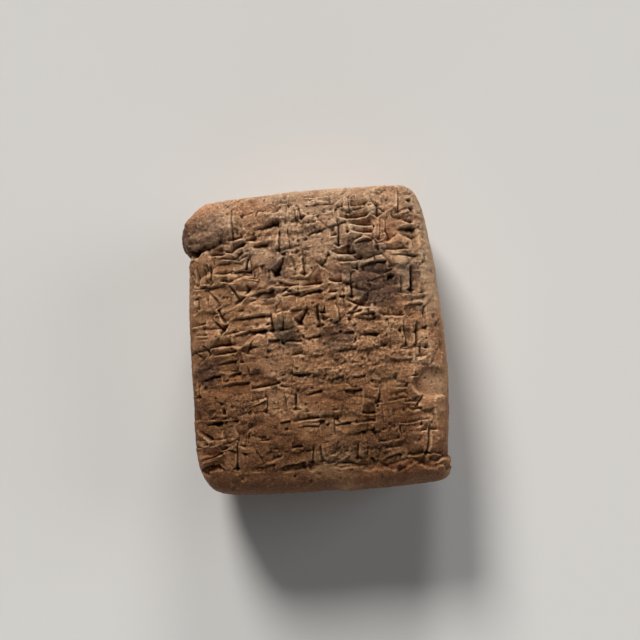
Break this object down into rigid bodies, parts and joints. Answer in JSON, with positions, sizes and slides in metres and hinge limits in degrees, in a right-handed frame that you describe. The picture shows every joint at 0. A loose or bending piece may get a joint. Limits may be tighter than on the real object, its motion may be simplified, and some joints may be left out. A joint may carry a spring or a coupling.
{
  "type": "cuneiform tablet",
  "caption": "Small cushion-shaped clay tablet with rows of shallow wedge strokes pressed into its face, lying on its slightly flattened reverse.",
  "frame": {"origin": "under the middle of the tablet, on the surface it lies on", "axes": "+X across the tablet, +Y towards its upper edge, +Z out of the written face"},
  "size_m": [0.0458, 0.0538, 0.02],
  "materials": {
    "clay": "matt unglazed clay, worn and pitted"
  },
  "bodies": {
    "root": {"clay_tablet": "clay"}
  },
  "joints": []
}
